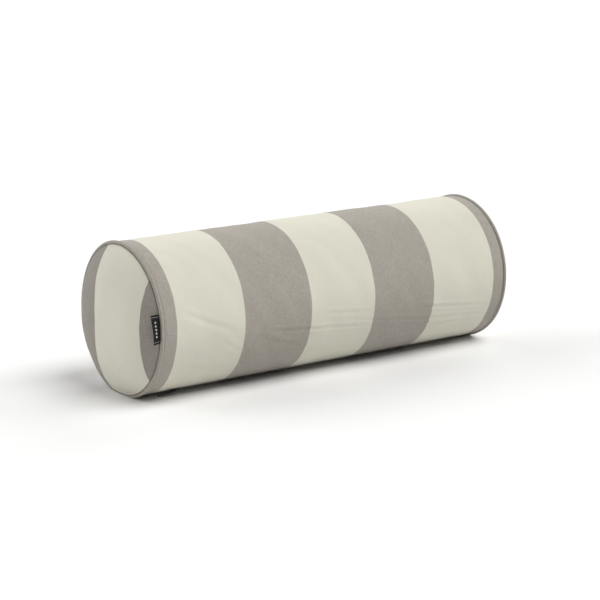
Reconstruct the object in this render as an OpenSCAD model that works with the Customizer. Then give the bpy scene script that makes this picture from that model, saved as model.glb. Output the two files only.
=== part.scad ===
// Bolster pillow: piped, zipped cover over a wadded foam insert.
// Millimetres, +Z up. The pillow lies along X on the plane z = 0.
// The origin is under the middle of the pillow, on the surface it lies on.

/* [Pillow] */
// Diameter of the sleeve
sleeve_d = 200; // [190:1:220]
// Length of the sleeve from end seam to end seam
seam_len = 554; // [520:1:640]
// Height of the crown of each end panel
crown_h = 23.8; // [16:0.1:28]
// Fullness of the crown: higher is flatter in the middle
crown_n = 3.54; // [3:0.01:5]
// How far the pillow settles under its own weight
settle = 2; // [1.5:0.1:2.5]

/* [Cloth] */
// Thickness of the cover cloth
cloth_t = 0.8; // [0.6:0.05:0.9]
// Thickness of the liner cloth
liner_t = 0.5; // [0.3:0.05:0.6]
// Depth of the cloth turned in at each seam
allowance = 10; // [8:0.5:12]

/* [Piping] */
// Outside diameter of the covered piping
piping_d = 6.8; // [6.6:0.05:7]
// Thickness of the strip round the piping cord
piping_t = 0.7; // [0.5:0.05:0.8]

/* [Zip] */
// Angle of the zip round the pillow, from straight down towards the front
zip_angle = 24; // [23:0.5:60]
// Width of the opening that the zip lies in
slot_w = 9.5; // [9:0.1:11]
// Distance from each end of the opening to the end seam
slot_end = 37; // [35:1:60]
// Width of each zip tape
tape_w = 14; // [12:0.5:16]
// Distance between two teeth on one tape
tooth_pitch = 2.8; // [2.6:0.1:3.2]
// Length of the slider
slider_l = 11; // [11:0.1:12]
// Width of the slider
slider_w = 7.8; // [7.6:0.05:8]
// Length of the pull tab from its pin to its tip
pull_l = 25; // [12:0.5:25]
// Width of the pull tab
pull_w = 5; // [4.6:0.1:5]
// Thickness of the pull tab (mm)
pull_t = 1.8; // [1.2:0.1:1.9]
// Angle at which the pull tab hangs away from the cloth
pull_droop = 5.2; // [5:0.1:6.5]

/* [Labels] */
// Length of the woven label along the end seam
label_l = 37; // [20:1:50]
// How far the woven label stands out of the seam
label_w = 9.5; // [8:0.5:13]
// Length of the care label inside
care_l = 50; // [30:1:60]
// Width of the care label inside
care_w = 28; // [20:1:40]

/* [Insert] */
// Thickness of the wadding wrapped round the core
wadding_t = 9.6; // [5:0.1:15]
// Distance from each end of the foam core to the end seam
core_end = 9.2; // [9:0.1:30]

/* [Hidden] */

$fn = 96;
R = sleeve_d / 2;             // radius of the sleeve
zc = R - settle;              // height of the pillow's axis
L2 = seam_len / 2;            // end seam, from the middle
pr = piping_d / 2;            // piping radius
px = L2 + pr + 0.1;           // piping ring: place along X
pR = R - pr + 1.7;            // piping ring: radius of its centre line
rim = R - 1;                  // radius at which the crown would reach the seam
crown_x = L2 + 3.7;           // foot of the crown
edge_r = pR - 3;              // radius at which the panel turns in under the piping
fl_r = R - cloth_t - 0.1;     // outside radius of the piping's sewn flange
al_r = fl_r - cloth_t - 0.1;  // outside radius of the panel's turned-in edge
in_r = R - 2.8;               // outside radius of the insert
in_f = 2.8;                   // height of the insert's underside
in_z = R - 4.8;               // flat on the insert behind the zip
in_x = L2 - 2.8;              // where the insert's ends start
tr = R - 2;                   // mid radius of the zip tapes
tape_t = 0.6;
chain_t = 2.4;                // thickness of the tooth chain
z0 = -(L2 - slot_end);        // ends of the zip opening
z1 = L2 - slot_end;
sx = z0 + 9;                  // front end of the slider
pin_x = sx + 4;               // pull tab pin: place along X
pin_n = R + 2;                // pull tab pin: distance from the pillow's axis
teeth0 = sx + 3.8;            // first tooth
teeth1 = z1 - 10.6;           // end of the last tooth
cream = [0.83, 0.82, 0.76];
greige = [0.62, 0.59, 0.55];
coal = [0.08, 0.08, 0.085];

function crown(r) = crown_x + crown_h * (1 - pow(r / rim, crown_n));
// Radii from the edge of a crown to its middle, closer together near the edge
function radii(r0, n = 22) = [for (i = [0:n]) r0 * (1 - pow(i / n, 1.35))];

// Puts a solid of revolution round Z on the pillow's axis, along +X
module on_axis() { translate([0, 0, zc]) rotate([0, 90, 0]) children(); }
// Right end as drawn, left end mirrored
module end_of(left) { if (left) mirror([1, 0, 0]) children(); else children(); }
// Keeps what is higher than h
module above(h) {
    intersection() { children(); translate([-500, -200, h]) cube([1000, 400, 400]); }
}
// Zip frame: X along the zip, Y across it towards the rear, -Z straight out of the cloth
module at_zip() { translate([0, 0, zc]) rotate([-zip_angle, 0, 0]) children(); }
// Keeps what lies inside distance n from the axis, in the zip's direction
module behind_zip(n) {
    intersection() { children(); at_zip() translate([-500, -300, -n]) cube([1000, 600, 600]); }
}
module bar(r, xa, xb) { on_axis() translate([0, 0, xa]) cylinder(r = r, h = xb - xa); }
// Part of a tube round the axis, from ya to yb across the zip (measured at radius ro)
module sector(ri, ro, ya, yb, xa, xb) {
    a0 = ya / ro * 180 / PI;
    a1 = yb / ro * 180 / PI;
    at_zip() rotate([0, 90, 0]) translate([0, 0, xa]) linear_extrude(height = xb - xa)
        intersection() {
            difference() { circle(r = ro); circle(r = ri); }
            polygon([[0, 0], 2 * R * [cos(a0), sin(a0)], 2 * R * [cos(a1), sin(a1)]]);
        }
}

// ---- Cover ----
module cover_sleeve() {
    color(cream) difference() {
        union() {
            difference() {
                above(0) bar(R, -L2 + 0.6, L2 - 0.6);
                above(cloth_t) bar(R - cloth_t, -L2, L2);
            }
            // edges turned in along the zip
            sector(R - 2 * cloth_t, R - cloth_t + 0.1, slot_w / 2 - 0.5, slot_w / 2 + 9, z0 - 3, z1 + 3);
            sector(R - 2 * cloth_t, R - cloth_t + 0.1, -slot_w / 2 - 9, -slot_w / 2 + 0.5, z0 - 3, z1 + 3);
        }
        at_zip() translate([z0, -slot_w / 2, -R - 5]) cube([z1 - z0, slot_w, 12]);
    }
}

// Outline of an end panel and its turned-in edge, set in by t
function panel_edge(t) = [
    [0, L2 - allowance], [al_r - t, L2 - allowance], [al_r - t, L2 - 1.1 - t * 0.5],
    [al_r - 0.7 - t, L2 - 0.4 - t * 0.5], [pR - 2.1 - t, L2 + 0.3 - t * 0.3],
    [pR - 3.25 - t, L2 + 1.6], [pR - 3.6 - t, L2 + 3.5], [pR - 3.3 - t, L2 + 5.2 - t * 0.3]];
module panel_solid(t) {
    on_axis() rotate_extrude()
        polygon(concat(panel_edge(t), [for (r = radii(edge_r - t)) [r, crown(r) - t]]));
}
module end_panel(left) {
    color(cream) end_of(left) difference() {
        above(1.8) panel_solid(0);
        above(1.8 + cloth_t) union() {
            panel_solid(cloth_t);
            bar(al_r - cloth_t, L2 - allowance - 5, L2 - allowance + 1);
        }
    }
}

module piping_ring(r) { on_axis() translate([0, 0, px]) rotate_extrude() translate([pR, 0]) circle(r = r); }
module piping_cover(left) {
    color(greige) end_of(left) difference() {
        union() {
            above(0) piping_ring(pr);
            difference() {
                above(cloth_t + 0.1) bar(fl_r, L2 - allowance - 1, px - pr + 0.65);
                above(2 * cloth_t + 0.1) bar(fl_r - cloth_t, L2 - allowance - 2, px - pr + 1);
            }
        }
        above(piping_t) piping_ring(pr - piping_t);
    }
}
module piping_cord(left) {
    color("ivory") end_of(left) above(piping_t + 0.1) piping_ring(pr - piping_t - 0.1);
}
// Lockstitch of an end seam: one thread on the sleeve's side, one on the panel's side
module seam_thread(left) {
    tr1 = 0.3;
    tR = R - 0.3;
    tz = 0.1 + tr1;
    ta = acos((zc - tz) / tR) + 0.1;      // half of the arc that the flat takes off the ring
    ty = tR * sin(ta) - 0.1;
    color(cream) end_of(left) {
        on_axis() translate([0, 0, L2 - 0.25]) rotate([0, 0, ta])
            rotate_extrude(angle = 360 - 2 * ta) translate([tR, 0]) circle(r = tr1);
        translate([L2 - 0.25, -ty, tz]) rotate([-90, 0, 0]) cylinder(r = tr1, h = 2 * ty);
        on_axis() translate([0, 0, L2 + 6.75]) rotate_extrude() translate([R - 4.05, 0]) circle(r = 0.3);
    }
}

// ---- Zip ----
module zip_tape(side) {
    color(coal)
    if (side < 0) sector(tr - tape_t / 2, tr + tape_t / 2, -1.5 - tape_w, -1.5, z0 - 7, z1 + 7);
    else sector(tr - tape_t / 2, tr + tape_t / 2, 1.5, 1.5 + tape_w, z0 - 7, z1 + 7);
}
// One row of teeth, drawn as a comb on its edge bead
module zip_teeth(side) {
    w = tooth_pitch / 2 - 0.2;
    n = floor((teeth1 - teeth0 - tooth_pitch) / tooth_pitch);
    s0 = side < 0 ? 0 : tooth_pitch / 2;
    comb = concat([[teeth0, -2.75], [teeth0, -1.45]],
        [for (i = [0:n]) for (p = [[0, -1.45], [0, 0.9], [w, 0.9], [w, -1.45]])
            [teeth0 + 0.4 + s0 + i * tooth_pitch + p[0], p[1]]],
        [[teeth1, -1.45], [teeth1, -2.75]]);
    color(coal) at_zip() translate([0, 0, -tr - chain_t / 2]) linear_extrude(height = chain_t)
        polygon(side < 0 ? comb : [for (p = comb) [p[0], -p[1]]]);
}
module zip_top_stops() {
    color(coal) at_zip() for (s = [-1, 1])
        translate([sx - 3.5, s < 0 ? -3 : 1.3, -tr - 1.1]) cube([2.5, 1.7, 2.2]);
}
module zip_bottom_stop() {
    color(coal) at_zip() translate([z1 - 10, -2.75, -tr - 1.4]) cube([4, 5.5, 2.8]);
}
// Slider: outer and inner plates with side flanges, a divider post between them and two lugs with a pin
module zip_slider() {
    hw = slider_w / 2;
    color(coal) at_zip() {
        difference() {
            union() {
                for (p = [[-(tr + 2.4), 0.9], [-(tr - 1.4), 0.9]])
                    translate([0, 0, p[0]]) linear_extrude(height = p[1])
                        polygon([[sx, -hw + 0.9], [sx + 1.2, -hw], [sx + slider_l - 3, -hw], [sx + slider_l, -hw + 1],
                            [sx + slider_l, hw - 1], [sx + slider_l - 3, hw], [sx + 1.2, hw], [sx, hw - 0.9]]);
                for (s = [-1, 1]) for (zz = [-(tr + 1.6), -(tr - 0.6)])
                    translate([sx + 1.2, s < 0 ? -hw : hw - 0.65, zz]) cube([slider_l - 4.2, 0.65, 1]);
                translate([sx + 0.4, -1.1, -(tr + 1.6)]) cube([2.8, 2.2, 3.1]);
                for (s = [-1, 1]) {
                    translate([pin_x, s * 2, -pin_n]) rotate([90, 0, 0]) cylinder(r = 1.1, h = 0.8, center = true);
                    translate([pin_x - 1.1, s * 2 - 0.4, -pin_n]) cube([2.2, 0.8, 2]);
                }
                translate([pin_x, 0, -pin_n]) rotate([90, 0, 0]) cylinder(r = 0.6, h = 4, center = true);
            }
        }
    }
}
// Pull tab: eye round the pin, neck between the lugs, flat tab with a thick tip
module zip_pull_tab() {
    color(coal) at_zip() translate([pin_x, 0, -pin_n]) rotate([0, -pull_droop, 0]) difference() {
        union() {
            rotate([90, 0, 0]) cylinder(r = 1.15, h = 2.9, center = true);
            translate([-3, -1.45, -0.6]) cube([3, 2.9, 1.2]);
            translate([0, 0, -pull_t / 2]) linear_extrude(height = pull_t)
                polygon([[-1.7, -1.45], [-2.6, -pull_w / 2], [-pull_l + 1, -pull_w / 2],
                    [-pull_l + 1, pull_w / 2], [-2.6, pull_w / 2], [-1.7, 1.45]]);
            translate([-pull_l + 1, 0, 0]) rotate([90, 0, 0]) cylinder(r = 1, h = pull_w, center = true);
        }
        rotate([90, 0, 0]) cylinder(r = 0.66, h = 4, center = true);
    }
}
module zip_thread(side) {
    a = side * (slot_w / 2 + 2.5) / R * 180 / PI;
    color(cream) at_zip() rotate([a, 0, 0]) translate([z0, 0, -R - 0.35])
        rotate([0, 90, 0]) cylinder(r = 0.3, h = z1 - z0);
}

// ---- Labels ----
// Folded label that stands out of the end seam, along it
module brand_label() {
    ro = edge_r + 1.1;
    a = label_l / ro * 90 / PI;
    color(coal) mirror([1, 0, 0]) on_axis() translate([0, 0, px + pr + 0.4]) linear_extrude(height = label_w)
        intersection() {
            difference() { circle(r = ro); circle(r = ro - 0.8); }
            polygon([[0, 0], 2 * R * [cos(-94.7 - a), sin(-94.7 - a)], 2 * R * [cos(-94.7 + a), sin(-94.7 + a)]]);
        }
}
module care_label() {
    color("white") sector(in_r + 0.2, in_r + 0.6, -care_w - 22, -22, -L2 + allowance + 0.5, -L2 + allowance + 0.5 + care_l);
}

// ---- Insert ----
// Outline of one end of the insert, set in by t
function insert_edge(t, xa) = [[0, xa], [in_r - 0.1 - t, xa], [in_r - 0.1 - t, in_x - t * 0.4],
    [in_r - 2 - t * 0.7, L2 - 0.5 - t * 0.7], [in_r - 3.8 - t * 0.7, L2 + 2 - t * 0.7]];
module insert_end(t, xa) {
    on_axis() rotate_extrude()
        polygon(concat(insert_edge(t, xa), [for (r = radii(rim - 6.5 - t * 0.7)) [r, crown(r) - 1.3 - t]]));
}
module insert_bar(t, xa, xb) {
    behind_zip(in_z - t) above(in_f + t) bar(in_r - t, xa, xb);
}
module liner_sleeve() {
    color("white") difference() {
        insert_bar(0, -in_x + 0.2, in_x - 0.2);
        insert_bar(liner_t, -in_x - 1, in_x + 1);
    }
}
module liner_end(left) {
    color("white") end_of(left) difference() {
        above(in_f) insert_end(0, in_x);
        above(in_f + liner_t) insert_end(liner_t, in_x - 1);
    }
}
module wadding_wrap() {
    color("white") difference() {
        insert_bar(liner_t + 0.2, -(L2 - core_end + 0.1), L2 - core_end + 0.1);
        bar(in_r - liner_t - 0.2 - wadding_t, -L2, L2);
    }
}
module wadding_disc(left) {
    color("white") end_of(left) above(in_f + liner_t + 0.2) intersection() {
        insert_end(liner_t + 0.2, L2 - core_end + 0.3);
        if (left) mirror([1, 0, 0]) behind_zip(in_z - liner_t - 0.2) mirror([1, 0, 0]) bar(R, 0, L2 + 60);
        else behind_zip(in_z - liner_t - 0.2) bar(R, 0, L2 + 60);
    }
}
module foam_core() {
    color("lightyellow") bar(in_r - liner_t - 0.4 - wadding_t, -(L2 - core_end), L2 - core_end);
}

cover_sleeve();
end_panel(true);  // end_panel_left
end_panel(false);  // end_panel_right
piping_cover(true);  // piping_cover_left
piping_cover(false);  // piping_cover_right
piping_cord(true);  // piping_cord_left
piping_cord(false);  // piping_cord_right
seam_thread(true);  // seam_thread_left
seam_thread(false);  // seam_thread_right
zip_tape(-1);  // zip_tape_front
zip_tape(1);  // zip_tape_rear
zip_teeth(-1);  // zip_teeth_front
zip_teeth(1);  // zip_teeth_rear
zip_top_stops();
zip_bottom_stop();
zip_slider();
zip_pull_tab();
zip_thread(-1);  // zip_thread_front
zip_thread(1);  // zip_thread_rear
brand_label();
care_label();
liner_sleeve();
liner_end(true);  // liner_end_left
liner_end(false);  // liner_end_right
wadding_wrap();
wadding_disc(true);  // wadding_disc_left
wadding_disc(false);  // wadding_disc_right
foam_core();
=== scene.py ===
import math

import bpy
import numpy as np
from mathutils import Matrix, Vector


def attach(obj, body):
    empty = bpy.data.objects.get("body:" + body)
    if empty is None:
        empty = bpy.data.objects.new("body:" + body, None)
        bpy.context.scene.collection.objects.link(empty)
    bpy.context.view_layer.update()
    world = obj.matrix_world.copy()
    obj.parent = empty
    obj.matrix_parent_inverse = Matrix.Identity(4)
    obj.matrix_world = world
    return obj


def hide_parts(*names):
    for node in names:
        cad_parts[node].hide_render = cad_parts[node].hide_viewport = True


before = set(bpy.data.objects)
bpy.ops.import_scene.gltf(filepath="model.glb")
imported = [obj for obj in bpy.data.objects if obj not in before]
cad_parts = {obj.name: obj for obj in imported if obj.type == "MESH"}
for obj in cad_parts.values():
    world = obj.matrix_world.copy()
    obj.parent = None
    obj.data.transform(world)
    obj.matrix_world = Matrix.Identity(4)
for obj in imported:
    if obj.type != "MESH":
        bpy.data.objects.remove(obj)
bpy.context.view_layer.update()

# ---------------------------------------------------------------- sizes, in millimetres, as in the CAD model
MM = 0.001
R = 100.0  # sleeve radius
ZC = 98.0  # height of the axis
L2 = 277.0  # end seam from the middle
PX, PRC, PR = 279.6, 99.2, 2.5  # piping ring: place, ring radius, cord radius
TH = math.radians(24.0)  # zip, from straight down towards the front
CROWN_X, CROWN_H, CROWN_N, RIM = 280.7, 23.8, 3.54, 99.0
STRIPES = [-258.35, -155.6, -51.4, 52.1, 152.8, 258.35]
SLOT = 240.0
SX = -231.0  # front end of the zip slider
PIN_X, PIN_N = -227.0, 102.0
DROOP = math.radians(5.2)


# ---------------------------------------------------------------- camera and light
def look_at(ob, target):
    d = Vector(target) - ob.location
    ob.rotation_euler = d.to_track_quat("-Z", "Y").to_euler()


AZ, EL, DIST = math.radians(-35.40), math.radians(13.50), 2.714
target = Vector((0.0005, 0.0, (ZC - 13.17) * MM))
cam_data = bpy.data.cameras.new("camera")
cam_data.lens = 120.13
cam_data.sensor_width = 36.0
cam_data.clip_end = 50
cam = bpy.data.objects.new("camera", cam_data)
bpy.context.scene.collection.objects.link(cam)
cam.location = target + DIST * Vector(
    (math.sin(AZ) * math.cos(EL), -math.cos(AZ) * math.cos(EL), math.sin(EL))
)
look_at(cam, target)
bpy.context.scene.camera = cam


def soft_sun(name, az, el, power, angle=40):
    """Distant soft light from azimuth az (0 is the front, 90 the right) and elevation el."""
    data = bpy.data.lights.new(name, "SUN")
    data.energy = power
    data.angle = math.radians(angle)
    ob = bpy.data.objects.new(name, data)
    bpy.context.scene.collection.objects.link(ob)
    a, e = math.radians(az), math.radians(el)
    d = Vector((math.sin(a) * math.cos(e), -math.cos(a) * math.cos(e), math.sin(e)))
    ob.location = target + 2.5 * d
    ob.rotation_euler = (-d).to_track_quat("-Z", "Y").to_euler()
    return ob


soft_sun("key", 30, 60, 2.10)
soft_sun("right", 68, 28, 1.15)
soft_sun("right_back", 122, 28, 0.90)
soft_sun("left_back", -128, 28, 1.20)
soft_sun("back", -165, 28, 0.70)

world = bpy.data.worlds.new("studio")
bpy.context.scene.world = world
world.use_nodes = True
wn = world.node_tree.nodes
wl = world.node_tree.links
wn.clear()
w_out = wn.new("ShaderNodeOutputWorld")
w_mix = wn.new("ShaderNodeMixShader")
w_path = wn.new("ShaderNodeLightPath")
w_amb = wn.new("ShaderNodeBackground")
w_cam = wn.new("ShaderNodeBackground")
w_amb.inputs["Color"].default_value = (1.0, 0.995, 0.985, 1)
w_amb.inputs["Strength"].default_value = 0.05
w_cam.inputs["Color"].default_value = (1, 1, 1, 1)
w_cam.inputs["Strength"].default_value = 1.0
wl.new(w_path.outputs["Is Camera Ray"], w_mix.inputs[0])
wl.new(w_amb.outputs[0], w_mix.inputs[1])
wl.new(w_cam.outputs[0], w_mix.inputs[2])
wl.new(w_mix.outputs[0], w_out.inputs["Surface"])
bpy.context.scene.view_settings.view_transform = "Standard"
bpy.context.scene.view_settings.look = "None"


# ---------------------------------------------------------------- materials
class Nodes:
    """Small helper that adds nodes to a material's tree."""

    def __init__(self, name):
        self.mat = bpy.data.materials.new(name)
        self.mat.use_nodes = True
        self.t = self.mat.node_tree
        self.t.nodes.clear()
        self.out = self.t.nodes.new("ShaderNodeOutputMaterial")
        self.bsdf = self.t.nodes.new("ShaderNodeBsdfPrincipled")
        self.t.links.new(self.bsdf.outputs[0], self.out.inputs["Surface"])

    def put(self, node, i, v):
        if v is None:
            return
        if isinstance(v, bpy.types.NodeSocket):
            self.t.links.new(v, node.inputs[i])
        else:
            node.inputs[i].default_value = v

    def attr(self, name):
        n = self.t.nodes.new("ShaderNodeAttribute")
        n.attribute_name = name
        return n.outputs["Fac"]

    def coords(self):
        return self.t.nodes.new("ShaderNodeTexCoord").outputs["Object"]

    def math(self, op, a, b=None, c=None, clamp=False):
        n = self.t.nodes.new("ShaderNodeMath")
        n.operation = op
        n.use_clamp = clamp
        self.put(n, 0, a)
        self.put(n, 1, b)
        self.put(n, 2, c)
        return n.outputs[0]

    def vec(self, x, y, z=0.0):
        n = self.t.nodes.new("ShaderNodeCombineXYZ")
        self.put(n, 0, x)
        self.put(n, 1, y)
        self.put(n, 2, z)
        return n.outputs[0]

    def scaled(self, v, s):
        n = self.t.nodes.new("ShaderNodeVectorMath")
        n.operation = "MULTIPLY"
        self.put(n, 0, v)
        n.inputs[1].default_value = s
        return n.outputs[0]

    def noise(self, v, scale=1.0, detail=2.0, rough=0.5):
        n = self.t.nodes.new("ShaderNodeTexNoise")
        self.put(n, "Vector", v)
        n.inputs["Scale"].default_value = scale
        n.inputs["Detail"].default_value = detail
        n.inputs["Roughness"].default_value = rough
        return n.outputs["Fac"]

    def voronoi(self, v, scale=1.0, feature="F1"):
        n = self.t.nodes.new("ShaderNodeTexVoronoi")
        n.feature = feature
        self.put(n, "Vector", v)
        n.inputs["Scale"].default_value = scale
        return n.outputs["Distance"]

    def range(self, v, a, b, c=0.0, d=1.0):
        n = self.t.nodes.new("ShaderNodeMapRange")
        n.clamp = True
        self.put(n, 0, v)
        for i, x in enumerate((a, b, c, d)):
            n.inputs[i + 1].default_value = x
        return n.outputs[0]

    def mix(self, f, a, b):
        n = self.t.nodes.new("ShaderNodeMix")
        n.data_type = "RGBA"
        self.put(n, 0, f)
        for i, x in ((6, a), (7, b)):
            if isinstance(x, bpy.types.NodeSocket):
                self.t.links.new(x, n.inputs[i])
            else:
                n.inputs[i].default_value = (*x, 1)
        return n.outputs[2]

    def gain(self, color, f):
        """color times f, where f is a value socket."""
        n = self.t.nodes.new("ShaderNodeVectorMath")
        n.operation = "SCALE"
        if isinstance(color, bpy.types.NodeSocket):
            self.t.links.new(color, n.inputs[0])
        else:
            n.inputs[0].default_value = color
        self.put(n, "Scale", f)
        return n.outputs[0]

    def bump(self, h, strength=0.3, dist=0.0002, normal=None):
        n = self.t.nodes.new("ShaderNodeBump")
        n.inputs["Strength"].default_value = strength
        n.inputs["Distance"].default_value = dist
        self.put(n, "Height", h)
        if normal is not None:
            self.t.links.new(normal, n.inputs["Normal"])
        return n.outputs[0]

    def finish(self, color=None, rough=None, normal=None, sheen=None, **sockets):
        self.put(self.bsdf, "Base Color", color if isinstance(color, bpy.types.NodeSocket) else (*color, 1))
        if rough is not None:
            self.put(self.bsdf, "Roughness", rough)
        if normal is not None:
            self.put(self.bsdf, "Normal", normal)
        if sheen:
            self.bsdf.inputs["Sheen Weight"].default_value = sheen[0]
            self.bsdf.inputs["Sheen Roughness"].default_value = sheen[1]
            self.bsdf.inputs["Sheen Tint"].default_value = (*sheen[2], 1)
        for k, v in sockets.items():
            self.bsdf.inputs[k.replace("_", " ")].default_value = v
        return self.mat


CREAM = (0.662, 0.643, 0.548)
GREIGE = (0.346, 0.316, 0.273)
GREIGE_LIGHT = (0.455, 0.424, 0.380)
GREIGE_DARK = (0.236, 0.211, 0.178)


def weave_height(n, u, v, pitch):
    """Plain weave: over and under threads, each pitch/2 wide, as a height from 0 to 1."""
    a = n.math("SINE", n.math("MULTIPLY", u, 2 * math.pi / pitch))
    b = n.math("SINE", n.math("MULTIPLY", v, 2 * math.pi / pitch))
    over = n.math("MULTIPLY", a, b)
    ribs = n.math("ADD", n.math("ABSOLUTE", a), n.math("ABSOLUTE", b))
    return n.math("MULTIPLY_ADD", over, 0.35, n.math("MULTIPLY", ribs, 0.32))


def cloth(name, grey, pitch=0.9, turn=0.0, cream=CREAM, shade=1.0):
    """Woven outdoor cloth. grey is a function of the helper that gives 1 on greige cloth and 0 on cream.

    shade scales the greige's tone. It is painted shade, which sets the greige a little darker on the end panels than on
    the sleeve, where the end faces take less light.
    """
    n = Nodes(name)
    u, v = n.attr("cu"), n.attr("cv")
    g = grey(n, u, v)
    if turn:
        c, s = math.cos(turn), math.sin(turn)
        u, v = (
            n.math("MULTIPLY_ADD", u, c, n.math("MULTIPLY", v, s)),
            n.math("MULTIPLY_ADD", u, -s, n.math("MULTIPLY", v, c)),
        )
    h = weave_height(n, u, v, pitch)
    # single yarns along both directions: some thick and light, some thin and dark
    warp = n.noise(n.vec(n.math("MULTIPLY", u, 2.2), n.math("MULTIPLY", v, 0.10)), 1.0, 3.0, 0.65)
    weft = n.noise(n.vec(n.math("MULTIPLY", u, 0.10), n.math("MULTIPLY", v, 2.2), 7.0), 1.0, 3.0, 0.65)
    yarn = n.math("MULTIPLY", n.math("ADD", warp, weft), 0.5)
    fleck = n.noise(n.vec(u, v, 3.0), 1.9, 2.0, 0.7)
    cloud = n.noise(n.vec(u, v, 11.0), 0.017, 3.0, 0.55)
    mottle = n.noise(n.vec(u, v, 5.0), 0.16, 3.0, 0.6)
    grey_c = n.mix(n.range(yarn, 0.36, 0.64), GREIGE_DARK, GREIGE_LIGHT)
    grey_c = n.mix(n.math("MULTIPLY", n.range(fleck, 0.35, 0.75), 0.30), grey_c, (0.50, 0.465, 0.42))
    blot = n.noise(n.vec(n.math("MULTIPLY", u, 0.45), n.math("MULTIPLY", v, 0.9), 9.0), 0.9, 3.0, 0.7)
    grey_c = n.mix(0.25, grey_c, GREIGE)
    # blot is a random tone; shade scales it, as painted shade on the end panels
    grey_c = n.gain(grey_c, n.range(blot, 0.25, 0.75, 0.86 * shade, 1.14 * shade))
    cream_c = n.mix(n.range(yarn, 0.3, 0.7), tuple(c * 0.965 for c in cream), tuple(c * 1.03 for c in cream))
    col = n.mix(g, cream_c, grey_c)
    tone = n.math("MULTIPLY_ADD", cloud, 0.075, 0.9625)
    tone = n.math("MULTIPLY", tone, n.math("MULTIPLY_ADD", mottle, 0.05, 0.975))
    # the weave's raised threads are set lighter and its hollows darker: painted shade of the weave's relief
    tone = n.math("MULTIPLY", tone, n.math("MULTIPLY_ADD", h, 0.10, 0.965))
    col = n.gain(col, tone)
    rough = n.math("MULTIPLY_ADD", yarn, -0.16, 0.94)
    height = n.math("ADD", n.math("MULTIPLY", h, 0.8), n.math("MULTIPLY", yarn, 0.5))
    nrm = n.bump(height, 0.35, 0.00016)
    nrm = n.bump(mottle, 0.10, 0.0006, nrm)
    return n.finish(col, rough, nrm, sheen=(0.10, 0.5, (1.0, 0.99, 0.96)), Specular_IOR_Level=0.28)


def edge_steps(n, x, edges, first):
    """1 and 0 in turn between the edges, starting with first."""
    total = float(first)
    sign = -1 if first else 1
    for e in edges:
        m = n.range(x, e - 0.35, e + 0.35)
        total = n.math("MULTIPLY_ADD", m, float(sign), total)
        sign = -sign
    return total


def wavy(n, u, v):
    """Stripe edges follow single yarns, so they waver by a few tenths of a millimetre."""
    return n.math("MULTIPLY_ADD", n.noise(n.vec(0.0, n.math("MULTIPLY", v, 0.05), 2.0), 1.0, 3.0), 1.1, n.math("SUBTRACT", u, 0.55))


m_sleeve = cloth("cloth_sleeve", lambda n, u, v: edge_steps(n, wavy(n, u, v), STRIPES, 1))
# the end panels' cream is set 5 percent lighter than the sleeve's, painted light, and shade=0.84 sets their greige
# darker, painted shade
PANEL_CREAM_PAINTED_LIGHT = tuple(c * 1.05 for c in CREAM)
m_left = cloth("cloth_end_left", lambda n, u, v: edge_steps(n, wavy(n, u, v), [-72.1, 25.9], 1), cream=PANEL_CREAM_PAINTED_LIGHT, shade=0.84)
m_right = cloth("cloth_end_right", lambda n, u, v: edge_steps(n, wavy(n, u, v), [-41.0, 57.0], 1), cream=PANEL_CREAM_PAINTED_LIGHT, shade=0.84)
m_piping = cloth("cloth_piping", lambda n, u, v: 1.0, turn=math.radians(45))


def yarn_material(name, color, twist=1.1, dark=0.72):
    """Twisted thread or cord: cu runs along it and cv round it, both in millimetres."""
    n = Nodes(name)
    u, v = n.attr("cu"), n.attr("cv")
    ply = n.math("SINE", n.math("MULTIPLY", n.math("ADD", u, n.math("MULTIPLY", v, 1.2)), 2 * math.pi / twist))
    fuzz = n.noise(n.vec(u, v), 3.1, 3.0, 0.7)
    # colour is darker in the grooves between the plies, painted shade, and also varies with a random fuzz tone
    f = n.math("MULTIPLY_ADD", ply, 0.35, n.math("MULTIPLY", fuzz, 0.9), clamp=True)
    col = n.mix(f, tuple(c * dark for c in color), color)
    nrm = n.bump(n.math("MULTIPLY_ADD", ply, 0.5, fuzz), 0.5, 0.00008)
    return n.finish(col, n.range(fuzz, 0.3, 0.7, 0.5, 0.72), nrm, sheen=(0.1, 0.4, (1, 1, 1)), Specular_IOR_Level=0.4)


m_thread = yarn_material("sewing_thread", (0.60, 0.575, 0.52), 0.5)
m_thread_grey = yarn_material("sewing_thread_greige", (0.46, 0.43, 0.385), 0.5)
m_cord = yarn_material("piping_filler", (0.80, 0.78, 0.72), 2.4)


def tape_material():
    n = Nodes("zip_tape_weave")
    u, v = n.attr("cu"), n.attr("cv")
    # herringbone: the twill turns every 2.4 mm across the tape
    tri = n.math("PINGPONG", v, 2.4)
    twill = n.math("SINE", n.math("MULTIPLY", n.math("ADD", u, tri), 2 * math.pi / 0.8))
    fuzz = n.noise(n.vec(u, v), 2.6, 3.0, 0.7)
    # colour is darker in the twill's grooves, painted shade, and also varies with a random fuzz tone
    f = n.math("MULTIPLY_ADD", twill, 0.35, fuzz, clamp=True)
    col = n.mix(f, (0.012, 0.012, 0.014), (0.050, 0.050, 0.056))
    nrm = n.bump(n.math("ADD", twill, fuzz), 0.5, 0.0001)
    return n.finish(col, n.range(fuzz, 0.3, 0.7, 0.62, 0.85), nrm, sheen=(0.12, 0.4, (1, 1, 1)), Specular_IOR_Level=0.35)


def plastic_material():
    n = Nodes("zip_tooth_plastic")
    p = n.scaled(n.coords(), (1000, 1000, 1000))
    a, b = n.noise(p, 0.9, 3.0), n.noise(p, 9.0, 2.0)
    col = n.mix(a, (0.020, 0.020, 0.023), (0.042, 0.042, 0.047))
    nrm = n.bump(b, 0.12, 0.00003)
    return n.finish(col, n.range(a, 0.3, 0.7, 0.28, 0.46), nrm, Specular_IOR_Level=0.5)


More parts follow.
